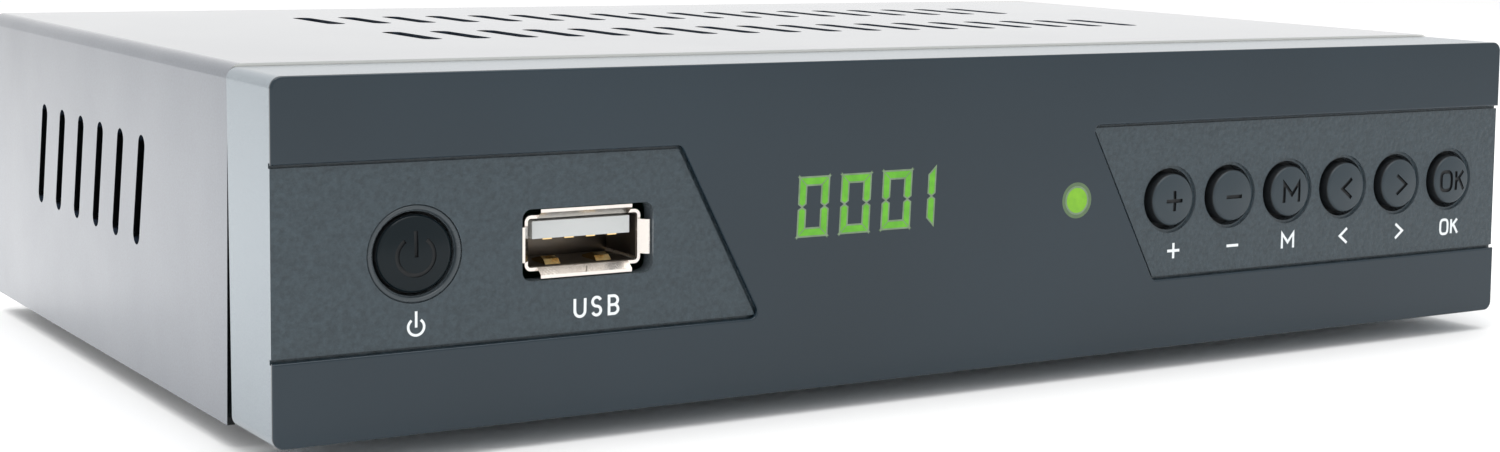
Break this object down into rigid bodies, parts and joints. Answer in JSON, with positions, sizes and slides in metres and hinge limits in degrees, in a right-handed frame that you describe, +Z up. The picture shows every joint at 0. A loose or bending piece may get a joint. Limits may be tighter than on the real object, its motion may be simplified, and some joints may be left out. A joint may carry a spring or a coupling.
{
  "type": "satellite tv receiver",
  "caption": "Slim set-top satellite receiver: steel cover with vent slots over a tray, gloss front with display window, power button, USB socket and a row of push keys.",
  "frame": {"origin": "under the middle of the whole thing, at the level the feet stand on", "axes": "+X to the right seen from the front, the front faces -Y, +Z up"},
  "size_m": [0.168, 0.1204, 0.0395],
  "materials": {
    "cover_paint": "satin grey powder coat",
    "tray_steel": "zinc plated sheet steel",
    "fascia_abs": "fine textured ABS",
    "gloss_front": "high gloss smoked",
    "button_gloss": "gloss moulded caps",
    "socket_metal": "nickel plated",
    "contact_gold": "gold flashed",
    "socket_white": "moulded white insulator",
    "socket_black": "moulded black",
    "display_green": "dark lens with lit segments",
    "lamp_green": "clear tinted epoxy",
    "eye_dark": "dark infrared-pass epoxy",
    "board_green": "solder mask",
    "chip_black": "moulded epoxy",
    "sink_alloy": "anodised",
    "capacitor_sleeve": "heat-shrunk sleeve",
    "tin_can": "tin plated",
    "screw_steel": "zinc plated",
    "foot_rubber": "moulded"
  },
  "bodies": {
    "casing": {"audio_block": "socket_black", "audio_insulator": "socket_white", "audio_socket": "socket_metal", "base_tray": "tray_steel", "board_link": "socket_black", "board_posts": "tin_can", "board_screws": "screw_steel", "capacitors": "capacitor_sleeve", "coils": "chip_black", "crystal": "tin_can", "display_module": "display_green", "display_spacer": "socket_black", "eye_holder": "socket_black", "feet": "foot_rubber", "front_board": "board_green", "front_board_screws": "screw_steel", "front_fascia": "fascia_abs", "front_lens": "gloss_front", "hdmi_shell": "socket_metal", "hdmi_tongue": "socket_black", "heatsink": "sink_alloy", "jack_pin": "socket_metal", "lan_contacts": "contact_gold", "lan_socket": "socket_black", "led_holder": "socket_white", "lip_screws": "screw_steel", "lug_screws": "screw_steel", "main_board": "board_green", "memory_chips": "chip_black", "power_jack": "socket_black", "processor": "chip_black", "remote_eye": "eye_dark", "sat_connector": "socket_metal", "sat_insulator": "socket_white", "sat_nut": "socket_metal", "status_led": "lamp_green", "tact_switches": "socket_black", "top_cover": "cover_paint", "tuner_can": "tin_can", "tuner_lid": "tin_can", "usb_contacts": "contact_gold", "usb_shell": "socket_metal", "usb_tongue": "socket_white"},
    "power_control": {"power_button": "button_gloss", "power_plunger": "socket_black"},
    "plus_control": {"plus_button": "button_gloss", "plus_plunger": "socket_black"},
    "minus_control": {"minus_button": "button_gloss", "minus_plunger": "socket_black"},
    "menu_control": {"menu_button": "button_gloss", "menu_plunger": "socket_black"},
    "left_control": {"left_button": "button_gloss", "left_plunger": "socket_black"},
    "right_control": {"right_button": "button_gloss", "right_plunger": "socket_black"},
    "ok_control": {"ok_button": "button_gloss", "ok_plunger": "socket_black"}
  },
  "joints": [
    {"name": "power_press", "type": "slide", "parent": "casing", "child": "power_control", "axis": [0, 1, 0], "range_m": [0, 0.0005], "stiffness_N_per_m": 2500, "springref_m": -0.0004},
    {"name": "plus_press", "type": "slide", "parent": "casing", "child": "plus_control", "axis": [0, 1, 0], "range_m": [0, 0.0005], "stiffness_N_per_m": 2500, "springref_m": -0.0004},
    {"name": "minus_press", "type": "slide", "parent": "casing", "child": "minus_control", "axis": [0, 1, 0], "range_m": [0, 0.0005], "stiffness_N_per_m": 2500, "springref_m": -0.0004},
    {"name": "menu_press", "type": "slide", "parent": "casing", "child": "menu_control", "axis": [0, 1, 0], "range_m": [0, 0.0005], "stiffness_N_per_m": 2500, "springref_m": -0.0004},
    {"name": "left_press", "type": "slide", "parent": "casing", "child": "left_control", "axis": [0, 1, 0], "range_m": [0, 0.0005], "stiffness_N_per_m": 2500, "springref_m": -0.0004},
    {"name": "right_press", "type": "slide", "parent": "casing", "child": "right_control", "axis": [0, 1, 0], "range_m": [0, 0.0005], "stiffness_N_per_m": 2500, "springref_m": -0.0004},
    {"name": "ok_press", "type": "slide", "parent": "casing", "child": "ok_control", "axis": [0, 1, 0], "range_m": [0, 0.0005], "stiffness_N_per_m": 2500, "springref_m": -0.0004}
  ]
}
